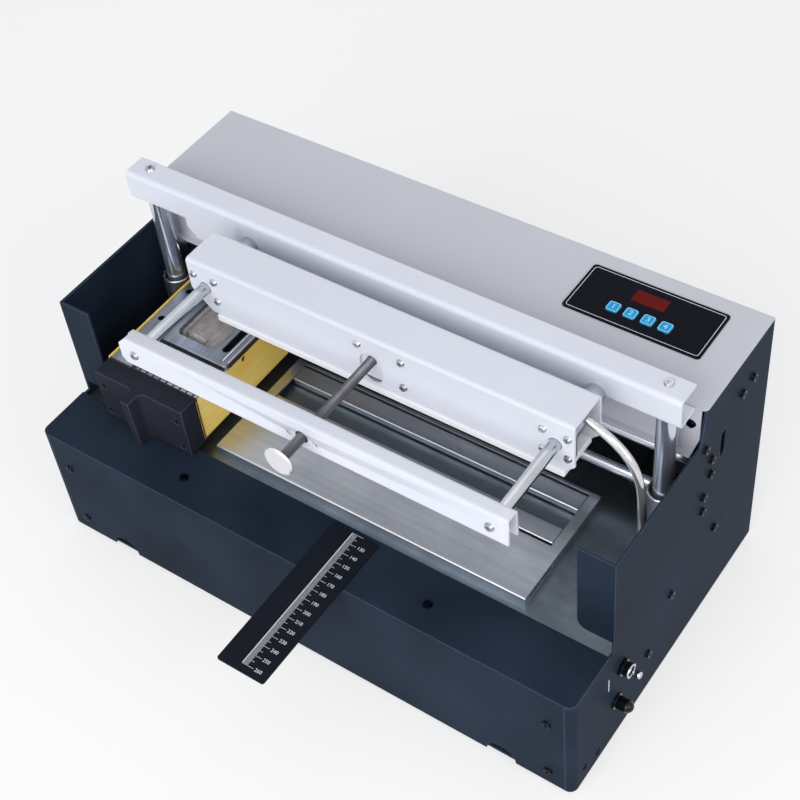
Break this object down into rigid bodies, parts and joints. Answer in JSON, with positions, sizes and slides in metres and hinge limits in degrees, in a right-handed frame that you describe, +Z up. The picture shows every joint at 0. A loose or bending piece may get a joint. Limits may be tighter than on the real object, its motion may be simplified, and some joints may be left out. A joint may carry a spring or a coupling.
{
  "type": "perfect binding machine",
  "caption": "Desktop glue binder: low black sheet-metal housing, lifting book clamp with a screw-driven front jaw, sliding glue pot with roller, and a ruled feed arm.",
  "frame": {"origin": "middle of the machine's whole footprint, at the level of the table that it stands on", "axes": "+X to the machine's right as its user sees it, +Y to its back, +Z up"},
  "size_m": [0.539, 0.397, 0.2984],
  "materials": {
    "dark_powder_coat": "fine satin powder coat",
    "grey_enamel": "satin enamel",
    "pale_enamel": "satin enamel",
    "zinc_plate": "satin zinc",
    "polished_steel": "ground and polished",
    "bright_steel": "satin",
    "screw_steel": "bright zinc",
    "black_oxide": "black oxide",
    "black_tube": "black",
    "bronze": "machined",
    "gold_passivate": "yellow passivated sheet",
    "cast_aluminium": "machined casting",
    "roller_steel": "dull with glue",
    "dark_casting": "painted casting",
    "black_anodised": "black anodised",
    "motor_black": "satin",
    "panel_film": "printed film",
    "window_red": "tinted clear",
    "button_blue": "satin",
    "board_green": "lacquered board",
    "core_steel": "varnished laminations",
    "gloss_black": "gloss",
    "switch_metal": "nickel",
    "foot_rubber": "matt"
  },
  "bodies": {
    "housing": {"base_plate": "dark_powder_coat", "left_side_wall": "dark_powder_coat", "right_side_wall": "dark_powder_coat", "front_cover": "dark_powder_coat", "back_panel": "dark_powder_coat", "top_deck": "grey_enamel", "control_overlay": "panel_film", "display_window": "window_red", "control_board": "board_green", "inner_tray": "zinc_plate", "nip_table": "bright_steel", "ruler_plate": "black_anodised", "lift_sleeves": "black_tube", "lift_bushes": "bronze", "carriage_rails": "polished_steel", "screw_and_rail_supports": "bright_steel", "carriage_motor": "motor_black", "lift_motor": "motor_black", "main_board": "board_green", "transformer": "core_steel", "power_inlet": "gloss_black", "fuse_holder": "gloss_black", "toggle_switch": "switch_metal", "rubber_feet": "foot_rubber", "side_bolts": "black_oxide", "cover_screws": "screw_steel"},
    "clamp_frame": {"rear_beam": "pale_enamel", "lift_posts": "polished_steel", "guide_rods": "polished_steel", "crossbar": "pale_enamel", "spindle_nut": "bronze", "lift_yoke": "bright_steel", "clamp_screws": "screw_steel"},
    "front_jaw": {"jaw_channel": "pale_enamel", "jaw_bar": "bright_steel", "jaw_bushes": "bronze", "spindle_bearing": "cast_aluminium", "jaw_screws": "screw_steel", "jaw_conduit": "bright_steel"},
    "spindle": {"clamp_spindle": "black_oxide", "clamp_knob": "polished_steel"},
    "glue_carriage": {"pot_shell": "gold_passivate", "glue_tank": "cast_aluminium", "heater_block": "cast_aluminium", "pot_top_frame": "cast_aluminium", "doctor_blade": "roller_steel", "roller_motor": "motor_black", "pot_casting": "dark_casting", "carriage_slide": "bright_steel", "carriage_fasteners": "black_oxide"},
    "roller": {"glue_roller": "roller_steel"},
    "travel_screw": {"carriage_screw": "black_oxide"},
    "lifting_screw": {"lift_screw": "black_oxide"},
    "button_a": {"button_1": "button_blue"},
    "button_b": {"button_2": "button_blue"},
    "button_c": {"button_3": "button_blue"},
    "button_d": {"button_4": "button_blue"},
    "power_lever": {"toggle_lever": "polished_steel"},
    "front_nip": {"front_nip_bar": "bright_steel"},
    "rear_nip": {"rear_nip_bar": "bright_steel"}
  },
  "joints": [
    {"name": "clamp_lift", "type": "slide", "parent": "housing", "child": "clamp_frame", "axis": [0, 0, 1], "range_m": [-0.05, 0]},
    {"name": "jaw_slide", "type": "slide", "parent": "clamp_frame", "child": "front_jaw", "axis": [0, -1, 0], "range_m": [-0.019, 0.04]},
    {"name": "spindle_turn", "type": "hinge", "parent": "front_jaw", "child": "spindle", "pos_m": [0.02355, -0.1095, 0.272], "axis": [0, 1, 0], "continuous": true},
    {"name": "carriage_travel", "type": "slide", "parent": "housing", "child": "glue_carriage", "axis": [1, 0, 0], "range_m": [0, 0.345]},
    {"name": "travel_screw_turn", "type": "hinge", "parent": "housing", "child": "travel_screw", "pos_m": [-0.20695, 0.1295, 0.1705], "axis": [1, 0, 0], "continuous": true},
    {"name": "lifting_screw_turn", "type": "hinge", "parent": "housing", "child": "lifting_screw", "pos_m": [0.02355, 0.07, 0.04], "axis": [0, 0, 1], "continuous": true},
    {"name": "roller_turn", "type": "hinge", "parent": "glue_carriage", "child": "roller", "pos_m": [-0.17945, 0.0365, 0.167], "axis": [0, 1, 0], "continuous": true},
    {"name": "button_a_press", "type": "slide", "parent": "housing", "child": "button_a", "axis": [0, 0, -1], "range_m": [0, 0.0008], "stiffness_N_per_m": 1500},
    {"name": "button_b_press", "type": "slide", "parent": "housing", "child": "button_b", "axis": [0, 0, -1], "range_m": [0, 0.0008], "stiffness_N_per_m": 1500},
    {"name": "button_c_press", "type": "slide", "parent": "housing", "child": "button_c", "axis": [0, 0, -1], "range_m": [0, 0.0008], "stiffness_N_per_m": 1500},
    {"name": "button_d_press", "type": "slide", "parent": "housing", "child": "button_d", "axis": [0, 0, -1], "range_m": [0, 0.0008], "stiffness_N_per_m": 1500},
    {"name": "power_lever_throw", "type": "hinge", "parent": "housing", "child": "power_lever", "pos_m": [0.2568, -0.0275, 0.0885], "axis": [0, 1, 0], "range_deg": [-12, 12]},
    {"name": "front_nip_close", "type": "slide", "parent": "housing", "child": "front_nip", "axis": [0, 1, 0], "range_m": [0, 0.008]},
    {"name": "rear_nip_close", "type": "slide", "parent": "housing", "child": "rear_nip", "axis": [0, 1, 0], "range_m": [-0.008, 0]}
  ],
  "couplings": [
    {"joint": "spindle_turn", "follows": "jaw_slide", "rad_per_m": -5026.5},
    {"joint": "travel_screw_turn", "follows": "carriage_travel", "rad_per_m": 628.32},
    {"joint": "lifting_screw_turn", "follows": "clamp_lift", "rad_per_m": -1570.8},
    {"joint": "rear_nip_close", "follows": "front_nip_close", "ratio": -1}
  ]
}
